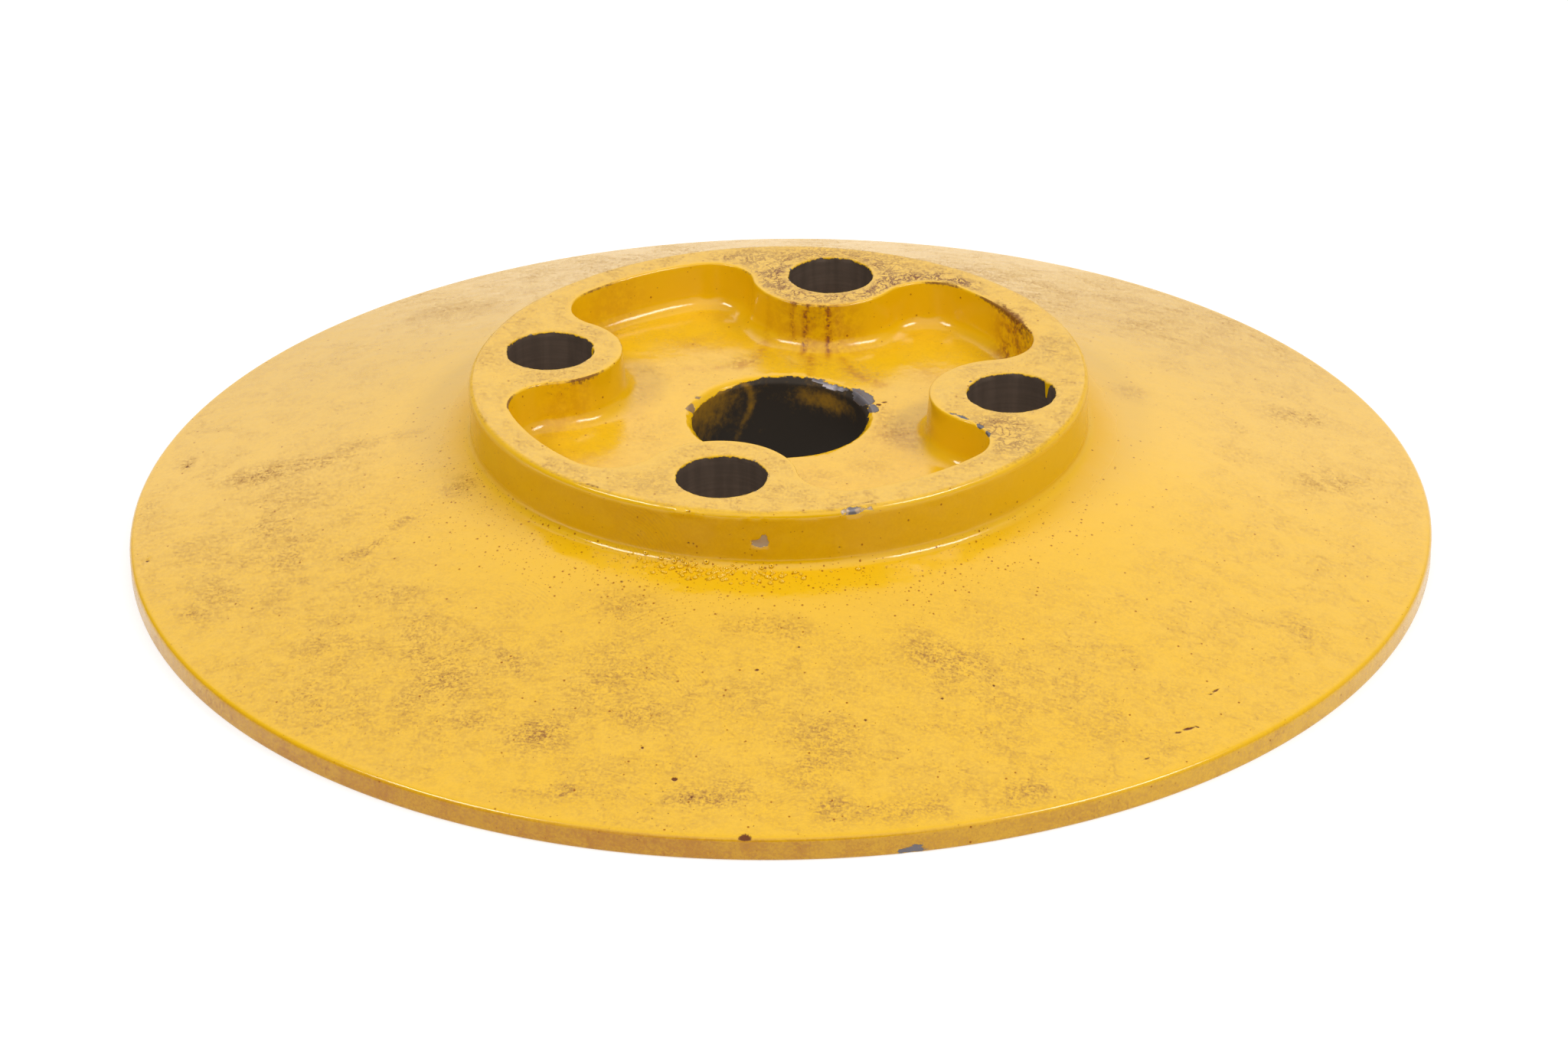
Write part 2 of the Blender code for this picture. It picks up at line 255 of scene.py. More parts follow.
# Finger marks: smudges of parallel ridges, which ring the point given before the strength
PRINTS = [
    (-14, -75.5, 5, 4, 0, (-15, -85, 0), 1.0), (-5, -53.0, 6, 4, 0, (3, -61, 0), 0.9),
    (-22, -51.0, 5, 4, 0, (-29, -59, 0), 0.8), (0, -62.0, 7, 5, 0, (-12, -76, 0), 0.9),
    (24, -68.0, 5, 4, 0, (31, -77, 0), 0.6), (-29, -64.0, 4, 7, 0, (-20, -71, 0), 0.8),
    (-45, -72.0, 5, 3, -30, (-62, -64, 0), 0.7), (-2, -83.0, 5, 3, 0, (-3, -93, 0), 0.8),
    (20, -81.0, 5, 3, 0, (27, -91, 0), 0.7), (-8, -42.0, 5, 2, 0, (-14, -42, 12), 0.9),
]
# Chips and pits on the hub's wall: (azimuth, height, half length, half height)
WALL_CHIPS = [(-80.1, 19.1, 1.35, 0.6), (-79.3, 19.9, 0.4, 0.45)]
WALL_PITS = [
    (-92.8, 18.4, 0.2, 0.15), (-91.9, 18.4, 0.13, 0.2), (-73.9, 19.8, 0.12, 0.16),
    (-109.7, 22.0, 0.16, 0.14), (-66.0, 18.0, 0.2, 0.1),
]
# The same on the rim's side, in its own heights
RIM_CHIPS = [(-66.5, 0.45, 1.8, 0.45), (-66.0, 1.0, 0.8, 0.25)]
RIM_PITS = [
    (-79.5, 3.12, 0.85, 0.3), (-132.4, 2.7, 0.35, 0.2), (-127.0, 2.7, 0.3, 0.2),
    (-88.0, 2.2, 0.16, 0.14), (-98.0, 1.4, 0.14, 0.16),
]
# Dirt on the rim's side: (azimuth, height, half length in degrees, half height, strength)
RIM_DIRT = [
    (-85.8, 0.6, 2.6, 0.6, 1.0), (-118.0, 1.6, 9.0, 1.8, 0.55), (-132.0, 1.6, 8.0, 2.0, 0.6),
    (-101.0, 1.4, 6.0, 1.0, 0.5), (-75.0, 2.0, 5.0, 1.0, 0.4), (-52.0, 1.5, 9.0, 1.2, 0.5),
    (-33.0, 1.8, 8.0, 1.2, 0.45),
]
# Blobs of paint on the hub's edge: (azimuth, height, radius, how far the blob stands out)
LUMPS = [
    (-94.9, 22.8, 0.55, 0.20), (-93.8, 22.75, 0.35, 0.16), (-92.3, 22.95, 0.5, 0.22),
    (-90.6, 22.8, 0.4, 0.12), (-82.3, 22.8, 0.45, 0.15), (-79.2, 23.0, 0.4, 0.12),
]
# Runs of paint down a hole's wall: (hole, azimuth, length, width in degrees)
DRIPS = [(0, 46, 2.6, 3.0), (2, 24, 2.4, 3.5)]


# ---- outlines


def arc(centre, radius, start, end, steps):
    """steps + 1 points of a circle's arc, from start to end in radians."""
    angles = np.linspace(start, end, steps + 1)
    return [(centre[0] + radius * cos(a), centre[1] + radius * sin(a)) for a in angles]


def between(a, b, step):
    """Points strictly between a and b, no further apart than step."""
    count = max(1, int(np.ceil(np.hypot(b[0] - a[0], b[1] - a[1]) / step)))
    shares = np.arange(1, count) / count
    return [(a[0] + (b[0] - a[0]) * t, a[1] + (b[1] - a[1]) * t) for t in shares]


def rounded_profile(*corners):
    """Points along corners of (radius, height, rounding, arc steps, spacing on the run that follows)."""
    points = []
    for i, (r, z, rounding, steps, _) in enumerate(corners):
        corner = Vector((r, z))
        if rounding:
            before = (Vector(corners[i - 1][:2]) - corner).normalized()
            after = (Vector(corners[i + 1][:2]) - corner).normalized()
            half = before.angle(after) / 2
            centre = corner + (before + after).normalized() * (rounding / sin(half))
            first = corner + before * (rounding / tan(half)) - centre
            last = corner + after * (rounding / tan(half)) - centre
            start = atan2(first.y, first.x)
            turn = (atan2(last.y, last.x) - start + pi) % (2 * pi) - pi
            new = arc(centre, rounding, start, start + turn, steps)
        else:
            new = [(r, z)]
        if points:
            points += between(points[-1], new[0], corners[i - 1][4])
        points += new
    return points


def skirt_z(radius):
    """Height of the skirt's upper cone at this distance from the axis."""
    return RIM_THICKNESS + (DISC_RADIUS - radius) * SKIRT_SLOPE


def pocket_outline(inset):
    """The pocket's outline, moved inwards by inset, anticlockwise."""
    pitch = BOLT_CIRCLE_RADIUS
    corner_reach = POCKET_RADIUS - POCKET_CORNER
    lug_reach = LUG_RADIUS + POCKET_CORNER
    across = (pitch**2 + corner_reach**2 - lug_reach**2) / (2 * pitch)
    corner_angle = acos(across / corner_reach)
    flank_angle = acos((pitch - across) / lug_reach)

    def corner(facing, side, start, end):
        place = facing + side * corner_angle
        centre = (corner_reach * cos(place), corner_reach * sin(place))
        return arc(centre, POCKET_CORNER - inset, start, end, 18)

    points = []
    for i in range(BOLT_COUNT):
        facing = 2 * pi * i / BOLT_COUNT
        hole = (pitch * cos(facing), pitch * sin(facing))
        flank_start = facing - pi + flank_angle
        flank_end = facing - pi - flank_angle
        recess_start = facing + corner_angle
        recess_end = facing + 2 * pi / BOLT_COUNT - corner_angle
        points += corner(facing, -1, facing - corner_angle, facing + flank_angle)
        points += arc(hole, LUG_RADIUS + inset, flank_start, flank_end, 40)[1:-1]
        points += corner(facing, 1, facing - flank_angle, recess_start)
        points += arc((0, 0), POCKET_RADIUS - inset, recess_start, recess_end, 32)[1:-1]
    return [np.array(p) + POCKET_SHIFT for p in points]


def pocket_levels():
    """(height, inset) of each outline down the pocket: its rounded edge, drafted wall and floor fillet."""
    levels = []
    for turn in np.linspace(0, pi / 2 - WALL_DRAFT, 5):
        levels.append((HUB_Z - POCKET_EDGE * (1 - cos(turn)), -POCKET_EDGE * (1 - sin(turn))))
    top, wall_top = levels[-1]
    wall_foot = FLOOR_Z + POCKET_FILLET * (1 - sin(WALL_DRAFT))
    for depth in np.linspace(0, top - wall_foot, 8)[1:]:
        levels.append((top - depth, wall_top + depth * tan(WALL_DRAFT)))
    inset = levels[-1][1]
    for turn in np.linspace(WALL_DRAFT, pi / 2, 9)[1:]:
        z = FLOOR_Z + POCKET_FILLET * (1 - sin(turn))
        levels.append((z, inset + POCKET_FILLET * (cos(WALL_DRAFT) - cos(turn))))
    return levels


# ---- mesh from loops and fills

OUTSIDE, POCKET, HOLE, UNDERSIDE, BLISTER, DIMPLE = range(6)


class Skin:
    """A mesh put together from closed loops of points, strips of faces between them, and even flat fills."""

    def __init__(self):
        self.points = []
        self.zones = []
        self.faces = []

    def loop(self, points, zone):
        start = len(self.points)
        self.points += [tuple(p) for p in points]
        self.zones += [zone] * (len(self.points) - start)
        return list(range(start, len(self.points)))

    def strips(self, loops):
        for a, b in zip(loops, loops[1:]):
            for i in range(len(a)):
                self.faces.append((a[i - 1], b[i - 1], b[i], a[i]))

    def turn(self, profile, angles, zone):
        """Turns a profile about the axis. Returns the first and last loops."""
        loops = [self.loop(circle(r, z, angles), zone) for r, z in profile]
        self.strips(loops)
        return loops[0], loops[-1]

    def fill(self, outer, holes, spacing, zone, marks=(), height=None):
        """Fills the area between an outer loop and its holes with even triangles, finer round the marks."""
        edges = [outer, *holes]
        rings = [np.array([self.points[i][:2] for i in edge]) for edge in edges]
        names = [i for edge in edges for i in edge]
        links = []
        for ring in rings:
            start = len(links)
            links += [(start + i, start + (i + 1) % len(ring)) for i in range(len(ring))]
        grid = [lattice(rings, spacing, 0.6), *[mark_lattice(rings, mark) for mark in marks]]
        grid = np.vstack(grid)
        heights = [height(x, y) if height else self.points[outer[0]][2] for x, y in grid]
        names += self.loop([(x, y, z) for (x, y), z in zip(grid, heights)], zone)
        corners = [Vector(p) for p in np.vstack([*rings, grid])]
        points, _, triangles, origins, _, _ = geometry.delaunay_2d_cdt(corners, links, [], 0, 1e-7)
        flat = np.array(points)
        centres = flat[np.array(triangles)].mean(1)
        for triangle, kept in zip(triangles, within(centres, rings)):
            if kept:
                self.faces.append(tuple(names[origins[v][0]] for v in triangle))


def inside(points, ring):
    """Which points lie inside a closed outline."""
    found = np.zeros(len(points), bool)
    x, y = points[:, 0], points[:, 1]
    for (x0, y0), (x1, y1) in zip(ring, np.roll(ring, -1, 0)):
        if y0 != y1:
            found ^= ((y0 > y) != (y1 > y)) & (x < (x1 - x0) * (y - y0) / (y1 - y0) + x0)
    return found


def within(points, rings):
    """Which points lie inside the first outline and outside the others."""
    found = inside(points, rings[0])
    for ring in rings[1:]:
        found &= ~inside(points, ring)
    return found


def clear_of_edges(points, rings, gap):
    """Which points are further than gap from every point of the outlines. It works in batches."""
    edge = np.vstack(rings)
    batch = 2000
    found = np.ones(len(points), bool)
    for start in range(0, len(points), batch):
        part = points[start : start + batch]
        squares = ((part[:, None] - edge[None]) ** 2).sum(2).min(1)
        found[start : start + batch] = squares > gap**2
    return found


def lattice(rings, spacing, gap):
    """Points of a triangular grid inside the rings, at least gap spacings from their edges."""
    reach = np.abs(rings[0]).max()
    columns = np.arange(-reach, reach, spacing)
    grid = []
    for n, y in enumerate(np.arange(-reach, reach, spacing * sqrt(3) / 2)):
        grid += [(x + (n % 2) * spacing / 2, y) for x in columns]
    grid = np.array(grid)
    grid = grid[within(grid, rings)]
    return grid[clear_of_edges(grid, rings, gap * spacing)]


def mark_lattice(rings, mark):
    """A finer grid round one mark, along its own length and width."""
    x, y, length, width, angle = mark[:5]
    a = radians(angle + 0.7)
    grid = []
    for u in np.arange(-length - MARK_MARGIN, length + MARK_MARGIN, MARK_SPACING):
        for v in np.arange(-width - MARK_MARGIN, width + MARK_MARGIN, MARK_SPACING):
            grid.append((x + u * cos(a) - v * sin(a), y + u * sin(a) + v * cos(a)))
    grid = np.array(grid)
    grid = grid[within(grid, rings)]
    return grid[clear_of_edges(grid, rings, 0.12)]


# ---- the casting's mesh


def even_angles(count):
    return np.arange(count) * 2 * pi / count


def turning_angles():
    """Angles of the turned loops, in radians, closer together at the front of the hub."""
    start, end = BLISTER_SECTOR
    front = np.arange(start, end, SECTOR_STEP)
    rest = np.arange(end, start + 360, TURN_STEP)
    return np.radians(np.concatenate([front, rest]))


def circle(radius, z, angles):
    return [(radius * cos(a), radius * sin(a), z) for a in angles]


def ragged(angles, seed, size):
    """Uneven offsets round a hole, where the paint's edge overhangs or has broken away."""
    found = []
    for a in angles:
        spot = Vector((3.2 * cos(a), 3.2 * sin(a), seed * 7.3))
        slow = noise.noise(spot)
        quick = noise.noise(spot * 3.1 + Vector((5, 1, seed)))
        found.append(size * (0.55 * slow + 0.75 * abs(quick) - 0.25))
    return np.array(found)


def hole_loop(skin, centre, radii, z, angles):
    points = [(centre[0] + r * cos(a), centre[1] + r * sin(a), z) for r, a in zip(radii, angles)]
    return skin.loop(points, HOLE)


def hole_centre(index):
    facing = 2 * pi * index / BOLT_COUNT
    return (BOLT_CIRCLE_RADIUS * cos(facing), BOLT_CIRCLE_RADIUS * sin(facing))


def bump(x, width):
    """1 where x is 0, falling away smoothly over width on both sides."""
    return np.exp(-((x / width) ** 2))


def foot_profile():
    """The hub's side, from its top face down the wall and round the foot on to the skirt."""
    return rounded_profile(
        (HUB_RADIUS - 1.3, HUB_Z, 0, 0, 0.4),
        (HUB_RADIUS, HUB_Z, HUB_EDGE, 8, 0.42),
        (HUB_RADIUS, skirt_z(HUB_RADIUS), HUB_FOOT, 9, 0.3),
        (HUB_RADIUS + 4.6, skirt_z(HUB_RADIUS + 4.6), 0, 0, 1.7),
    )


def rim_profile():
    """The rim's side and its rounded edges, between the skirt and the flat land under it."""
    return rounded_profile(
        (DISC_RADIUS - 2.0, skirt_z(DISC_RADIUS - 2.0), 0, 0, 0.45),
        (DISC_RADIUS, RIM_THICKNESS, RIM_EDGE, 7, 0.35),
        (DISC_RADIUS, 0, LOWER_EDGE, 4, 0.4),
        (DISC_RADIUS - 0.9, 0, 0, 0, 0.4),
    )


def build_bolt_hole(skin, index):
    """A hole from its ragged paint edge down to the web. Returns its first and last loops."""
    angles = even_angles(HOLE_STEPS)
    centre = hole_centre(index)
    lip = ragged(angles, index, 0.34)
    # (depth, how far inside the hole's radius, share of the ragged edge)
    levels = [
        (0.0, -0.30, 0.25),
        (0.03, -0.12, 0.6),
        (0.12, -0.02, 0.95),
        (0.26, 0.0, 1.0),
        (0.42, 0.0, 0.55),
        (0.6, 0.0, 0.15),
    ]
    levels += [(depth, 0.0, 0.0) for depth in (0.8, 1.1, 1.5, 1.9, 2.3, 2.8, 3.4, 4.5, 6.0, 8.5)]
    web = HUB_Z - WEB_UNDER_Z
    levels += [(web - 0.3, 0.0, 0.0), (web, -0.3, 0.0)]
    loops = []
    for depth, inset, share in levels:
        offset = inset + lip * share
        for hole, azimuth, length, width in DRIPS:
            if hole == index and 0.1 < depth < length:
                narrowed = width * (1 - 0.3 * depth / length)
                offset = offset + 0.28 * bump(np.degrees(angles) - azimuth, narrowed)
        loops.append(hole_loop(skin, centre, BOLT_HOLE_RADIUS - offset, HUB_Z - depth, angles))
    skin.strips(loops)
    return loops[0], loops[-1]


def build_bore(skin):
    """The bore's chamfer, with its ragged paint edge, and its wall down to the boss's face."""
    angles = even_angles(BORE_STEPS)
    lip = ragged(angles, 9, 0.3)
    chamfer = BORE_CHAMFER
    # (depth, how far inside the bore's radius, share of the ragged edge)
    levels = [
        (0.0, -chamfer - 0.25, 0.0),
        (0.08, -chamfer - 0.02, 0.8),
        (0.35, -chamfer * 0.62, 1.0),
        (0.62, -chamfer * 0.3, 0.8),
        (chamfer, -0.06, 0.6),
        (chamfer + 0.2, 0.0, 0.2),
    ]
    levels += [(depth, 0.0, 0.0) for depth in (1.4, 2, 2.7, 3.4, 4.2, 5, 6, 7, 8.5, 10, 12, 14)]
    levels += [(FLOOR_Z - LOWER_EDGE, 0.0, 0.0), (FLOOR_Z, -LOWER_EDGE, 0.0)]
    loops = []
    for depth, inset, share in levels:
        radii = BORE_RADIUS - inset - lip * share
        loops.append(hole_loop(skin, (0, 0), radii, FLOOR_Z - depth, angles))
    skin.strips(loops)
    return loops[0], loops[-1]


def build_underside(skin, land, bolt_feet, bore_foot):
    """The hollow skirt, the web and the boss, which no view from above shows."""
    land_radius = DISC_RADIUS - (SKIRT_DEPTH - RIM_THICKNESS) / SKIRT_SLOPE
    web_radius = DISC_RADIUS - (WEB_UNDER_Z + SKIRT_DEPTH - RIM_THICKNESS) / SKIRT_SLOPE
    boss_root = BOSS_RADIUS + WEB_UNDER_Z * tan(BOSS_DRAFT)
    angles = even_angles(UNDERSIDE_STEPS)
    hollow = rounded_profile(
        (land_radius - 0.2, 0, 0, 0, 3.5),
        (web_radius, WEB_UNDER_Z, SKIRT_TO_WEB, 5, 2.0),
        (web_radius - 0.9, WEB_UNDER_Z, 0, 0, 2.0),
    )
    boss = rounded_profile(
        (boss_root + 3.2, WEB_UNDER_Z, 0, 0, 1.0),
        (boss_root, WEB_UNDER_Z, BOSS_ROOT, 6, 2.0),
        (BOSS_RADIUS, 0, LOWER_EDGE, 3, 1.0),
        (BOSS_RADIUS - 1.0, 0, 0, 0, 1.0),
    )
    hollow_start, hollow_end = skin.turn(hollow, angles, UNDERSIDE)
    boss_start, boss_end = skin.turn(boss, angles, UNDERSIDE)
    skin.fill(land, [hollow_start], LAND_SPACING, UNDERSIDE)
    skin.fill(hollow_end, [boss_start, *bolt_feet], WEB_SPACING, UNDERSIDE)
    skin.fill(boss_end, [bore_foot], LAND_SPACING, UNDERSIDE)


def build_casting():
    """The whole casting as one closed skin."""
    skin = Skin()
    marks = [*TOP_CHIPS, *FLAKES, *BORE_CHIPS, *PITS, *SCRATCHES]
    hub_top, foot = skin.turn(foot_profile(), turning_angles(), OUTSIDE)
    skirt_end, land = skin.turn(rim_profile(), turning_angles(), OUTSIDE)
    skin.fill(skirt_end, [foot], SKIRT_SPACING, OUTSIDE, marks, lambda x, y: skirt_z(np.hypot(x, y)))
    pocket = []
    for z, inset in pocket_levels():
        pocket.append(skin.loop([(x, y, z) for x, y in pocket_outline(inset)], POCKET))
    skin.strips(pocket)
    bolt_holes = [build_bolt_hole(skin, i) for i in range(BOLT_COUNT)]
    skin.fill(hub_top, [pocket[0], *[mouth for mouth, _ in bolt_holes]], HUB_SPACING, OUTSIDE, marks)
    bore_mouth, bore_foot = build_bore(skin)
    skin.fill(pocket[-1], [bore_mouth], HUB_SPACING, POCKET, marks)
    build_underside(skin, land, [bottom for _, bottom in bolt_holes], bore_foot)
    return skin


# ---- what each point of the casting carries, where s is the casting's Surface


def azimuths(x, y):
    return np.degrees(np.arctan2(y, x))


class Surface:
    """The points of a skin, with each one's zone, azimuth and distance from the axis."""

    def __init__(self, skin):
        self.points = np.array(skin.points)
        self.x, self.y, self.z = self.points.T
        self.azimuth = azimuths(self.x, self.y)
        self.radius = np.hypot(self.x, self.y)
        self.zone = np.array(skin.zones)
        self.painted = self.zone < HOLE


def local_place(s, mark):
    """Each point's place along and across a mark, in half lengths and half widths."""
    x, y, length, width, angle = mark[:5]
    a = radians(angle)
    u = ((s.x - x) * cos(a) + (s.y - y) * sin(a)) / length
    v = ((s.y - y) * cos(a) - (s.x - x) * sin(a)) / width
    return u, v


def mark_depth(s, marks):
    """How far inside the nearest mark each point is, in mm. It is below 0 outside the marks."""
    depths = [(1 - np.hypot(*local_place(s, mark))) * min(mark[2:4]) for mark in marks]
    return np.maximum(np.maximum.reduce(depths), NO_MARK)


def side_mark_depth(s, radius, marks):
    """mark_depth for marks on an upright face at this distance from the axis."""
    found = np.full(len(s.x), NO_MARK)
    for place, height, length, width in marks:
        u = radians(radius) * (s.azimuth - place) / length
        v = (s.z - height) / width
        found = np.maximum(found, (1 - np.hypot(u, v)) * min(length, width))
    return np.where(np.abs(s.radius - radius) < 1, found, NO_MARK)


def soft_mark(s, mark):
    """A mark's strength, which is its last number, with a soft edge."""
    u, v = local_place(s, mark)
    return mark[-1] * np.exp(-0.9 * (u * u + v * v) ** 1.5)


def density(s, marks):
    """The strongest of some soft marks at each point."""
    return np.maximum.reduce([soft_mark(s, mark) for mark in marks])


def far_side(s):
    """1 round the back right of the bore, where its chamfer is bare, and 0 on its left and near side."""
    return np.clip(1.6 * np.cos(np.radians(s.azimuth - 75)) - 0.3, 0, 1)


def bare_depth(s):
    """How far past the paint's edge each point is, in mm: in the holes, and in the chips."""
    hole = s.zone == HOLE
    top = ~hole & (s.z > HUB_Z - 0.9)
    bare = np.where(top, mark_depth(s, [*TOP_CHIPS, *FLAKES]), NO_MARK)
    bare = np.maximum(bare, side_mark_depth(s, HUB_RADIUS, WALL_CHIPS))
    bare = np.maximum(bare, side_mark_depth(s, DISC_RADIUS, RIM_CHIPS))
    for index in range(BOLT_COUNT):
        cx, cy = hole_centre(index)
        here = hole & (np.hypot(s.x - cx, s.y - cy) < BOLT_HOLE_RADIUS + 2)
        azimuth = azimuths(s.x - cx, s.y - cy) % 360
        below = HUB_Z - s.z
        depth = below - PAINT_IN_HOLES
        for number, place, length, width in DRIPS:
            if number == index:
                depth -= 3 * bump(azimuth - place, width) * (below < length)
        bare[here] = depth[here]
    bore = hole & (s.radius < BORE_RADIUS + 2)
    paint = PAINT_IN_BORE + MORE_PAINT_IN_BORE * (1 - far_side(s))
    bare[bore] = (FLOOR_Z - s.z - paint)[bore]
    mouth = (s.zone != OUTSIDE) & (np.abs(s.z - FLOOR_Z) < 1.0)
    chips = np.where(mouth, mark_depth(s, BORE_CHIPS), NO_MARK)
    return np.clip(np.maximum(bare, chips), -2, 2)


def bored_depth(s):
    """Depth below a hole's mouth. It stays 0 where a chip has opened fresh metal at the bore's mouth."""
    mouth = np.where(s.radius < BORE_REACH, FLOOR_Z - 0.65 * (1 - far_side(s)), HUB_Z)
    chipped = (mark_depth(s, BORE_CHIPS) > 0) & (np.abs(s.z - FLOOR_Z) < 0.9)
    return np.where((s.zone == HOLE) & ~chipped, np.maximum(mouth - s.z, 0), 0)


def dust_share(s):
    """How much pale dust lies on each face: most on the hub's top, and little near its foot."""
    found = np.clip((s.radius - 49) / 15, 0, 1)
    found *= np.clip((DISC_RADIUS - s.radius) / 1.4, 0.05, 1)
    found[s.z < RIM_THICKNESS - 0.3] = 0.35
    pocket_floor = 0.6 * np.clip(1 - (s.z - FLOOR_Z) / 0.8, 0, 1)
    found = np.where(s.zone == POCKET, pocket_floor, found)
    found[s.zone == HOLE] = 0
    found[((s.zone == OUTSIDE) | (s.zone == HOLE)) & (s.z > HUB_Z - 0.2)] = 1.6
    return found


def pit_depth(s):
    """How far inside the nearest pit each point is, in mm."""
    found = np.where(s.painted, mark_depth(s, PITS), NO_MARK)
    found[s.zone == DIMPLE] = 0.4
    found = np.maximum(found, side_mark_depth(s, HUB_RADIUS, WALL_PITS))
    return np.maximum(found, side_mark_depth(s, DISC_RADIUS, RIM_PITS))


def rim_side(s):
    """1 on the rim's side and 0 on the faces within it."""
    return np.clip((s.radius - DISC_RADIUS) / 0.3 + 1, 0, 1)


def film_and_front_shade(s):
    """An even brown coat, part dirt, part painted shade, on the front of the hub's wall and the rim's side.
    """
    wall = (s.zone == OUTSIDE) & (np.abs(s.radius - HUB_RADIUS) < 0.3) & (s.z < HUB_Z - HUB_EDGE)
    film_and_shade = 0.8 * np.clip((s.z - FOOT_Z) / 1.5, 0, 1) * bump(s.azimuth + 95, 60)
    return np.where(wall, film_and_shade, rim_side(s) * (0.5 + 1.4 * bump(s.azimuth + 100, 45)))


def matt_share(s):
    """Where settled dust has dulled the hub's edge and foot: everywhere but at the front."""
    away = np.clip((np.abs((s.azimuth + 82 + 180) % 360 - 180) - 40) / 15, 0, 1)
    fade = np.clip((HUB_RADIUS + 6 - s.radius) / 5, 0, 1)
    wall = (s.z > FOOT_Z + HUB_FOOT) & (s.z < HUB_Z - 1.2)
    return np.where((s.zone == OUTSIDE) & (s.z < HUB_Z - 0.03) & ~wall, away * fade, 0)


def rim_dirt_and_shade(s):
    """Dirt on the rim's side, thickest in a few places, over an even base that is partly painted shade."""
    # The base darkens the whole of the rim's side: partly dirt, partly painted shade.
    least = 0.4
    found = np.full(len(s.x), least)
    for place, height, length, width, strength in RIM_DIRT:
        u = 1.6 * (s.azimuth - place) / length
        v = (s.z - height) / width
        found = np.maximum(found, (least + strength) * np.exp(-0.9 * (u * u + v * v)))
    return rim_side(s) * found


def dirt_density(s):
    """Dirt on the hub's top face and down the pocket's walls. It fades out at each mark's own depth."""
    below = HUB_Z - s.z
    found = np.clip(1.3 - below / 0.45, 0, 0.9) * density(s, EDGE_DIRT)
    found[(s.zone != POCKET) | (below <= 0.01)] = 0
    for mark in DIRT:
        reach = mark[5]
        found = np.maximum(found, soft_mark(s, mark) * np.clip(1.3 - below / reach, 0, 1))
    return np.where(s.painted & (s.z > FLOOR_Z - 0.5), found, 0)


def print_ridges(s):
    """The strongest finger mark at each point, and the distance from what its ridges ring."""
    strength = np.zeros(len(s.x))
    ridge = np.zeros(len(s.x))
    for mark in PRINTS:
        here = soft_mark(s, mark)
        ringed = mark[5]
        stronger = here > strength
        strength[stronger] = here[stronger]
        ridge[stronger] = np.linalg.norm(s.points[stronger] - ringed, axis=1)
    return strength, ridge


def overspray_density(s):
    """Yellow mist that settled on the bore's wall, thickest at its left and far sides."""
    azimuth = s.azimuth % 360
    depth = FLOOR_Z - s.z
    left = bump(azimuth - 165, 42) * np.clip(1.25 - depth / 7.5, 0, 1)
    far = bump(azimuth - 72, 26) * bump(depth - 2.6, 2.0)
    run = 0.9 * bump(azimuth - 128 + 6 * np.sin(depth / 2), 4) * np.clip(1.4 - depth / 9, 0, 1)
    found = np.maximum.reduce([left, far, run])
    return np.where((s.zone == HOLE) & (s.radius < BORE_REACH), found, 0)


def speckle_density(s):
    """Fine brown specks, thickest at the foot of the hub on the side towards the camera."""
    near = np.clip(1.6 - np.abs(s.azimuth + 98) / 60, 0, 1)
    foot = np.where(s.z < FOOT_Z + 0.6, near * np.clip((56 - s.radius) / 9, 0, 1), 0)
    return np.where(s.zone == OUTSIDE, 0.05 + foot, 0.03)


def surface_values(s):
    """What the material reads at each point, by name."""
    skirt = s.painted & (s.z < HUB_Z - 1)
    top = (s.zone == OUTSIDE) & (s.z > HUB_Z - 0.4)
    smudges_and_shade = np.where(skirt, density(s, SMUDGES_AND_SHADE), 0)
    primer = np.maximum(side_mark_depth(s, HUB_RADIUS, WALL_CHIPS), mark_depth(s, FLAKES))
    strength, ridge = print_ridges(s)
    return {
        "bare": bare_depth(s),
        "pit": pit_depth(s),
        "scratch": np.where(skirt, mark_depth(s, SCRATCHES), NO_MARK),
        # The grime and the film here carry painted shade on the skirt's back, the rim and the hub's front
        # wall
        "grime_and_shade": np.maximum(smudges_and_shade, rim_dirt_and_shade(s)),
        "dirt": dirt_density(s),
        "stain": np.where(s.zone == POCKET, density(s, STAINS), 0),
        "film_and_shade": film_and_front_shade(s),
        "matt": matt_share(s),
        "crackle": np.where(top, density(s, CRACKLE), 0),
        "print": np.where(skirt, strength, 0),
        "ridge": ridge,
        "speckle": speckle_density(s),
        "overspray": overspray_density(s),
        "bored": bored_depth(s),
        "bolt": s.radius > BORE_REACH,
        "primer": primer > -0.2,
        "dust": dust_share(s),
    }


def waviness(s):
    """Slight unevenness of the cast walls, in mm. The machined top face and the rim stay true."""
    found = np.zeros(len(s.x))
    cast = s.painted & (s.z < HUB_Z - 0.05) & (s.radius < HUB_RADIUS + 6)
    for i in np.flatnonzero(cast):
        spot = Vector(s.points[i])
        found[i] = 0.05 * noise.noise(spot * 0.22) + 0.018 * noise.noise(spot * 0.9)
    return found


def lump_height(s):
    """How far the blobs of paint stand out at each point, in mm."""
    found = np.zeros(len(s.x))
    for azimuth, height, radius, size in LUMPS:
        a = radians(azimuth)
        spot = np.array((HUB_RADIUS * cos(a), HUB_RADIUS * sin(a), height))
        found += size * bump(np.linalg.norm(s.points - spot, axis=1), radius)
    return found


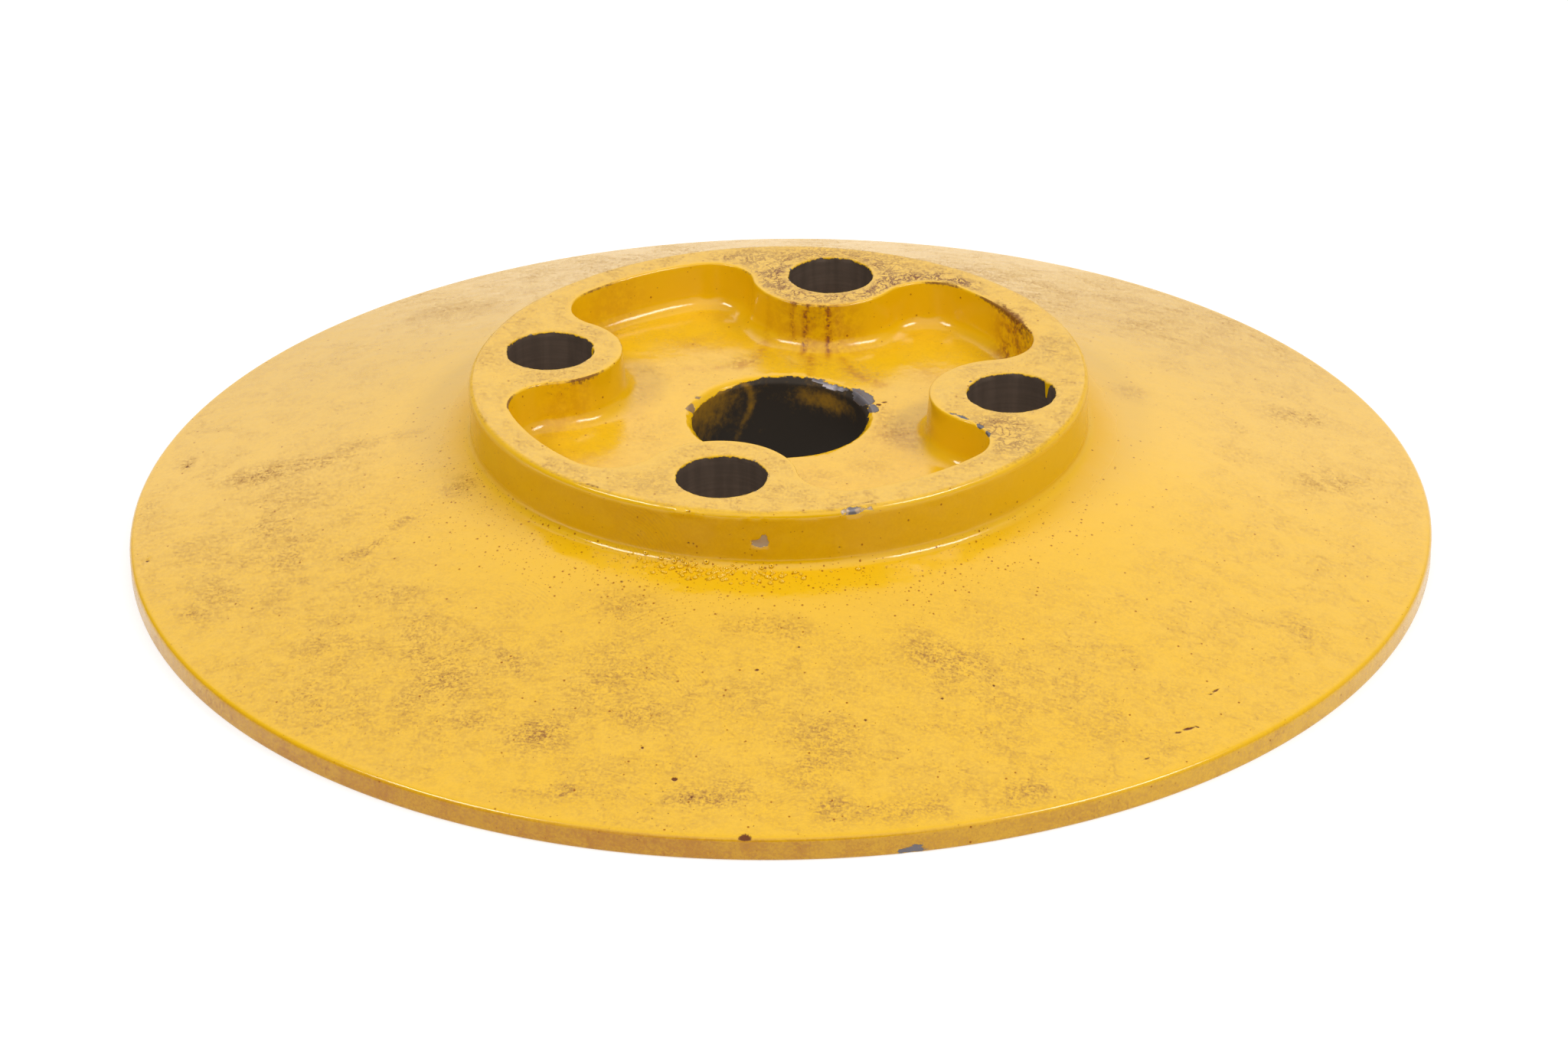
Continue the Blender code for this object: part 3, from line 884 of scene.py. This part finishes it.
def add_blisters(skin):
    """Small burst bubbles in the paint at the foot of the hub: closed lens shapes with a dimple."""
    radii, heights = np.array(foot_profile()).T
    chance = np.random.default_rng(7)
    for _ in range(BLISTER_COUNT):
        azimuth = radians(np.clip(chance.normal(*BLISTER_AZIMUTH), *BLISTER_SECTOR))
        reach = np.clip(chance.normal(*BLISTER_REACH), *BLISTER_REACH_LIMITS)
        size = chance.uniform(*BLISTER_RADIUS)
        z = np.interp(reach, radii, heights)
        slope = (np.interp(reach + 0.1, radii, heights) - z) / 0.1
        out = Vector((cos(azimuth), sin(azimuth), 0))
        normal = (Vector((0, 0, 1)) - out * slope).normalized()
        along = Vector((-sin(azimuth), cos(azimuth), 0))
        across = normal.cross(along)
        middle = out * reach + Vector((0, 0, z))
        rings = []
        for share, lift in BLISTER_RINGS:
            ring = []
            for turn in even_angles(8):
                side = along * cos(turn) + across * sin(turn)
                ring.append(middle + (side * share + normal * lift) * size)
            rings.append(skin.loop(ring, DIMPLE if share < 0.2 else BLISTER))
        skin.strips(rings)
        skin.faces.append(tuple(rings[-1]))
        skin.faces.append(tuple(reversed(rings[0])))


def add_object(name, data):
    made = bpy.data.objects.new(name, data)
    bpy.context.scene.collection.objects.link(made)
    return made


def make_casting():
    skin = build_casting()
    add_blisters(skin)
    mesh = bpy.data.meshes.new("painted_casting")
    mesh.from_pydata(skin.points, [], skin.faces)
    build = bmesh.new()
    build.from_mesh(mesh)
    bmesh.ops.recalc_face_normals(build, faces=build.faces)
    build.to_mesh(mesh)
    build.free()

    s = Surface(skin)
    values = surface_values(s)
    for name, numbers in values.items():
        layer = mesh.attributes.new(name, "FLOAT", "POINT")
        layer.data.foreach_set("value", np.asarray(numbers, np.float32))

    # The chips and pits sink into the painted faces, along the mesh's own normals
    dent = np.clip(values["bare"], 0, 0.1) + np.clip(values["pit"], 0, 0.12)
    lift = np.where(s.painted, waviness(s) + lump_height(s) - dent, 0)
    normals = np.zeros(len(s.x) * 3, np.float32)
    mesh.vertices.foreach_get("normal", normals)
    moved = s.points + normals.reshape(-1, 3) * lift[:, None]
    moved[:, 2] = np.minimum(moved[:, 2], HUB_Z)
    mesh.vertices.foreach_set("co", (moved * MM).astype(np.float32).ravel())
    mesh.shade_smooth()
    mesh.update()
    return add_object("painted_casting", mesh)


# ---- enamel

PAINT = (0.70, 0.395, 0.002)
DUST = (0.66, 0.45, 0.12)
# Grime brown, also used as painted shade on the skirt's back and the rim's side
GRIME_AND_SHADE = (0.25, 0.098, 0.012)
SPECK = (0.20, 0.03, 0.004)
DIRT_BROWN = (0.13, 0.04, 0.012)
# Rust brown for the stains, and for the brown film that is partly painted shade
RUST_AND_SHADE = (0.36, 0.11, 0.003)
PURPLE = (0.115, 0.026, 0.022)
IRON = (0.17, 0.155, 0.165)
PRIMER = (0.38, 0.27, 0.17)
BORE_IRON = (0.036, 0.028, 0.021)
BOLT_IRON = (0.135, 0.095, 0.07)
MIST = (0.34, 0.17, 0.008)
RIDGE_PITCH = 0.46


class Nodes:
    """Short calls for the nodes of a material or of the world."""

    def __init__(self, owner):
        owner.use_nodes = True
        self.tree = owner.node_tree
        self.coordinates = self.node("TexCoord", {}).outputs

    def put(self, socket, value):
        if isinstance(value, bpy.types.NodeSocket):
            self.tree.links.new(value, socket)
        elif socket.type == "RGBA":
            socket.default_value = (*value, 1)
        else:
            socket.default_value = value

    def node(self, kind, inputs, **settings):
        """A new node with these settings, and a number, colour or link for each of these inputs."""
        made = self.tree.nodes.new("ShaderNode" + kind)
        for name, value in settings.items():
            setattr(made, name, value)
        for socket, value in inputs.items():
            self.put(made.inputs[socket], value)
        return made

    def vector(self, operation, inputs):
        return self.node("VectorMath", inputs, operation=operation).outputs[0]

    def math(self, operation, a, b=0.0, c=0.0, clamp=False):
        made = self.node("Math", {0: a, 1: b, 2: c}, operation=operation, use_clamp=clamp)
        return made.outputs[0]

    def plus(self, a, b):
        return self.math("ADD", a, b)

    def times(self, a, b, clamp=False):
        return self.math("MULTIPLY", a, b, clamp=clamp)

    def times_plus(self, a, b, c):
        return self.math("MULTIPLY_ADD", a, b, c)

    def most(self, a, b, clamp=False):
        return self.math("MAXIMUM", a, b, clamp=clamp)

    def step(self, value, low, high, start=0.0, end=1.0):
        """start below low, end above high, and a smooth change between."""
        inputs = {"Value": value, "From Min": low, "From Max": high, "To Min": start, "To Max": end}
        return self.node("MapRange", inputs, interpolation_type="SMOOTHSTEP").outputs["Result"]

    def noise(self, scale, detail, roughness, distortion=0.0, place=None):
        """Noise between 0 and 1. Its features are about 1 / scale mm across."""
        inputs = {"Vector": place or self.place, "Scale": scale, "Detail": detail}
        inputs |= {"Roughness": roughness, "Distortion": distortion}
        return self.node("TexNoise", inputs).outputs["Fac"]

    def cells(self, scale):
        """Distance to the nearest of many scattered points, and each point's own random number."""
        points = self.node("TexVoronoi", {"Vector": self.place, "Scale": scale}).outputs
        chance = self.node("SeparateColor", {"Color": points["Color"]}).outputs["Red"]
        return points["Distance"], chance

    def attribute(self, name):
        return self.node("Attribute", {}, attribute_name=name).outputs["Fac"]

    def mix(self, share, a, b):
        """Colour a where share is 0, and colour b where it is 1."""
        return self.node("Mix", {"Factor": share, 6: a, 7: b}, data_type="RGBA").outputs[2]


def dust_grime_and_shade(n):
    """Pale dust, then thin grime: smears from hands, fine mottling and finger marks. Returns colour and
    film.

    The grime is partly painted shade, darkening the skirt's back and the rim's side.
    """
    dust = n.times(n.attribute("dust"), n.step(n.plus(n.soft, n.patch), 0.7, 1.3, 0.03, 0.12))
    stretched = n.vector("MULTIPLY", {0: n.place, 1: (0.6, 1.8, 1.0)})
    wisps = n.noise(0.6, 6, 0.75, 1.6, stretched)
    uneven = n.times_plus(n.grain, 0.5, n.times_plus(n.grit, 1.3, wisps))
    uneven = n.step(n.times_plus(n.cloud, 0.4, uneven), 1.38, 1.9)
    # The grime attribute is partly painted shade on the skirt's back and the rim's side.
    grime_and_shade = n.times(n.attribute("grime_and_shade"), uneven)
    mottle = n.step(n.plus(n.grain, wisps), 0.85, 1.3)
    mottle = n.times_plus(n.step(n.grit, 0.42, 0.66), 0.8, mottle)
    mottle = n.times(mottle, n.step(n.cloud, 0.36, 0.66, 0.3, 1.2))
    mottle = n.times(n.attribute("dust"), mottle)
    turn = n.times_plus(n.attribute("ridge"), 2 * pi / RIDGE_PITCH, n.times(n.patch, 14.0))
    ridges = n.step(n.math("SINE", turn), -0.2, 0.9)
    marks = n.times(n.times(n.attribute("print"), ridges), n.step(n.grain, 0.36, 0.6))
    film_and_shade = n.times_plus(grime_and_shade, 0.52, n.times(mottle, 0.26))
    film_and_shade = n.times_plus(marks, 0.24, film_and_shade)
    wiped = n.step(n.attribute("scratch"), 0.0, 0.08, 1.0, 0.15)
    film_and_shade = n.times(film_and_shade, wiped)
    colour = n.mix(n.times(dust, wiped), PAINT, DUST)
    return n.mix(film_and_shade, colour, GRIME_AND_SHADE), film_and_shade


def shade_stains_and_dirt(n, colour):
    """Brown film with painted shade, rusty stains, crackle, dark dirt. Returns colour, then the last three.
    """
    brown = n.step(n.plus(n.cloud, n.grit), 0.8, 1.2, 0.24, 0.4)
    # The brown film is partly painted shade, on the front of the hub's wall and on the rim's side.
    colour = n.mix(n.times(n.attribute("film_and_shade"), brown), colour, RUST_AND_SHADE)
    stain = n.times(n.attribute("stain"), n.step(n.plus(n.patch, n.grain), 0.72, 1.2))
    colour = n.mix(n.times(stain, 0.7, clamp=True), colour, RUST_AND_SHADE)
    colour = n.mix(n.step(n.times(stain, n.grit), 0.35, 0.8, 0.0, 0.7), colour, DIRT_BROWN)
    vein = n.math("ABSOLUTE", n.math("SUBTRACT", n.noise(0.55, 3, 0.6, 0.8), 0.5))
    veins = n.times(n.step(vein, 0.075, 0.015), n.step(n.fine, 0.36, 0.5))
    blotch = n.step(n.plus(n.patch, n.grit), 1.04, 1.2, 0.0, 0.8)
    crackle = n.times(n.attribute("crackle"), n.most(veins, blotch))
    colour = n.mix(n.times(crackle, 0.9, clamp=True), colour, PURPLE)
    worn = n.times_plus(n.fine, 0.8, n.times_plus(n.grain, 1.4, n.attribute("dirt")))
    dirt = n.step(worn, 1.65, 2.15)
    return n.mix(n.times(dirt, 0.85), colour, DIRT_BROWN), stain, crackle, dirt


def specks_and_pits(n, colour):
    """Fine brown specks and dark pits. Returns the colour, and where either of them lies."""
    specks = 0.0
    for scale, size in ((1.1, 0.24), (2.3, 0.26)):
        distance, chance = n.cells(scale)
        dense = n.step(n.times_plus(n.attribute("speckle"), 0.6, chance), 0.97, 0.99)
        specks = n.most(n.times(n.step(distance, size, size * 0.4), dense), specks)
    colour = n.mix(n.times(specks, 0.8), colour, SPECK)
    pit = n.step(n.times_plus(n.fine, 0.2, n.attribute("pit")), 0.06, 0.16)
    return n.mix(pit, colour, DIRT_BROWN), n.most(specks, pit)


def bare_iron(n, colour):
    """Iron in the holes and chips, primer in the shallow chips and paint mist in the bore.

    Returns the colour, where the paint has gone, where that is in a hole, and how metallic it is.
    """
    rag = n.times(n.math("SUBTRACT", n.plus(n.grain, n.patch), 1.0), 0.7)
    bare = n.step(n.plus(rag, n.attribute("bare")), -0.02, 0.07)
    bored = n.step(n.attribute("bored"), 0.01, 0.14)
    upright = n.vector("MULTIPLY", {0: n.place, 1: (1.0, 1.0, 0.08)})
    level = n.vector("MULTIPLY", {0: n.place, 1: (0.05, 0.05, 1.0)})
    streaks = n.step(n.noise(0.8, 2, 0.5, place=upright), 0.3, 0.7, 0.72, 1.0)
    rings = n.step(n.noise(2.5, 2, 0.5, place=level), 0.3, 0.7, 0.8, 1.0)
    turned = n.times(streaks, rings)
    inner = n.mix(n.times(n.attribute("bolt"), turned), BORE_IRON, BOLT_IRON)
    iron = n.mix(bored, n.mix(n.attribute("primer"), IRON, PRIMER), inner)
    mist = n.times_plus(n.plus(n.grain, n.patch), 0.9, n.attribute("overspray"))
    mist = n.step(mist, 1.1, 2.1)
    iron = n.mix(n.times(mist, 0.7), iron, MIST)
    shine = n.step(bored, 0.0, 1.0, 0.85, 0.35)
    metal = n.times(n.times(bare, shine), n.times_plus(mist, -0.8, 1.0))
    metal = n.times(metal, n.times_plus(n.attribute("primer"), -0.75, 1.0))
    return n.mix(bare, colour, iron), bare, bored, metal


def enamel():
    """Yellow machinery enamel with everything that lies on it or has worn through it."""
    material = bpy.data.materials.new("yellow_enamel")
    n = Nodes(material)
    n.place = n.vector("SCALE", {0: n.coordinates["Object"], "Scale": 1 / MM})
    n.soft = n.noise(0.09, 3, 0.6)
    n.cloud = n.noise(0.17, 5, 0.62, 0.9)
    n.patch = n.noise(0.5, 4, 0.6)
    n.grain = n.noise(1.6, 4, 0.65)
    n.grit = n.noise(3.0, 3, 0.7)
    n.fine = n.noise(5.0, 3, 0.6)
    # The grime and the brown film below carry painted shade as well as dirt.
    colour, film_and_shade = dust_grime_and_shade(n)
    colour, stain, crackle, dirt = shade_stains_and_dirt(n, colour)
    colour, spots = specks_and_pits(n, colour)
    colour, bare, bored, metal = bare_iron(n, colour)

    matt = n.attribute("matt")
    rough = n.times_plus(film_and_shade, 0.5, n.step(n.soft, 0.3, 0.7, 0.13, 0.18))
    rough = n.times_plus(n.most(stain, crackle), 0.1, rough)
    rough = n.times_plus(dirt, 0.3, rough)
    rough = n.times_plus(matt, 0.3, rough)
    rough = n.times_plus(bare, n.step(bored, 0.0, 1.0, 0.24, 0.42), rough)
    dull = n.most(n.most(dirt, crackle), n.most(spots, bored))
    dull = n.most(dull, n.times(matt, 0.5), clamp=True)
    relief = n.times_plus(n.noise(0.45, 2, 0.5), 0.05, n.times(n.grain, 0.004))
    relief = n.times_plus(bare, -0.05, relief)
    shader = n.tree.nodes["Principled BSDF"].inputs
    n.put(shader["Base Color"], colour)
    n.put(shader["Metallic"], metal)
    n.put(shader["Roughness"], rough)
    n.put(shader["Specular IOR Level"], n.times_plus(dull, -0.4, 0.5))
    bumps = n.node("Bump", {"Height": relief, "Distance": MM})
    n.put(shader["Normal"], bumps.outputs["Normal"])
    return material


# ---- stage


def around_view(azimuth, elevation, distance):
    """A place in metres about the disc's axis: azimuth 0 is the camera's side, 90 the right of its view."""
    a = radians(CAMERA_AZIMUTH + azimuth)
    e = radians(elevation)
    return Vector((sin(a) * cos(e), -cos(a) * cos(e), sin(e))) * distance


def facing(place, target):
    return Matrix.Translation(place) @ (target - place).to_track_quat("-Z", "Y").to_matrix().to_4x4()


def add_camera():
    data = bpy.data.cameras.new("camera")
    data.lens = CAMERA_LENS
    data.sensor_width = 36
    data.clip_start = 0.05
    camera = add_object("camera", data)
    right = around_view(90, 0, AIM_OFFSET * MM)
    place = around_view(0, CAMERA_ELEVATION, CAMERA_DISTANCE * MM)
    camera.matrix_world = facing(place, right) @ Matrix.Rotation(radians(CAMERA_ROLL), 4, "Z")
    bpy.context.scene.camera = camera


def add_softbox(name, azimuth, elevation, distance, width, height, radiance):
    data = bpy.data.lights.new(name, "AREA")
    data.shape = "RECTANGLE"
    data.size = width
    data.size_y = height
    data.energy = radiance * pi * width * height
    light = add_object(name, data)
    light.matrix_world = facing(around_view(azimuth, elevation, distance), Vector())


def add_floor():
    """A white sheet, from just in front of the disc to far behind it."""
    mesh = bpy.data.meshes.new("floor")
    corners = []
    for side, away in ((-1, -FLOOR_FRONT), (1, -FLOOR_FRONT), (1, FLOOR_REACH), (-1, FLOOR_REACH)):
        corners.append(around_view(90, 0, side * FLOOR_REACH) - around_view(0, 0, away))
    mesh.from_pydata(corners, [], [(0, 1, 2, 3)])
    paper = bpy.data.materials.new("white_paper")
    paper.use_nodes = True
    shader = paper.node_tree.nodes["Principled BSDF"]
    shader.inputs["Base Color"].default_value = (FLOOR_GREY, FLOOR_GREY, FLOOR_GREY, 1)
    shader.inputs["Emission Color"].default_value = (1, 1, 1, 1)
    shader.inputs["Emission Strength"].default_value = FLOOR_GLOW
    shader.inputs["Roughness"].default_value = 0.8
    mesh.materials.append(paper)
    floor = add_object("floor", mesh)


def studio_ramp(n, line, stops):
    """A smooth change of radiance with the angle between each direction and a line."""
    inputs = {0: n.coordinates["Generated"], 1: line / 2}
    along = n.node("VectorMath", inputs, operation="DOT_PRODUCT").outputs["Value"]
    ramp = n.node("ValToRGB", {0: n.plus(along, 0.5)})
    elements = ramp.color_ramp.elements
    while len(elements) < len(stops):
        elements.new(0.5)
    for element, (cosine, value) in zip(elements, stops):
        element.position = 0.5 + cosine / 2
        element.color = (value / 2, value / 2, value / 2, 1)
    return ramp.outputs["Color"]


def add_world():
    """A white studio: dark at table height behind the camera, bright above it, and dim at the sides.

    Its light falls off like this, but where a camera looks straight at it, it is plain white.
    """
    world = bpy.data.worlds.new("studio")
    bpy.context.scene.world = world
    n = Nodes(world)
    depth = studio_ramp(n, around_view(0, 0, 1), STUDIO_DEPTH)
    width = studio_ramp(n, around_view(90, 0, 1), STUDIO_WIDTH)
    light = n.vector("MULTIPLY", {0: depth, 1: width})
    seen = n.node("LightPath", {}).outputs["Is Camera Ray"]
    background = n.tree.nodes["Background"]
    background.inputs["Strength"].default_value = STUDIO_STRENGTH
    n.put(background.inputs["Color"], n.vector("MAXIMUM", {0: light, 1: seen}))


casting = make_casting()
casting.data.materials.append(enamel())
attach(casting, "root")
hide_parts("disc_casting")

add_camera()
add_floor()
add_world()
for softbox in SOFTBOXES:
    add_softbox(*softbox)
bpy.context.scene.view_settings.view_transform = "Standard"
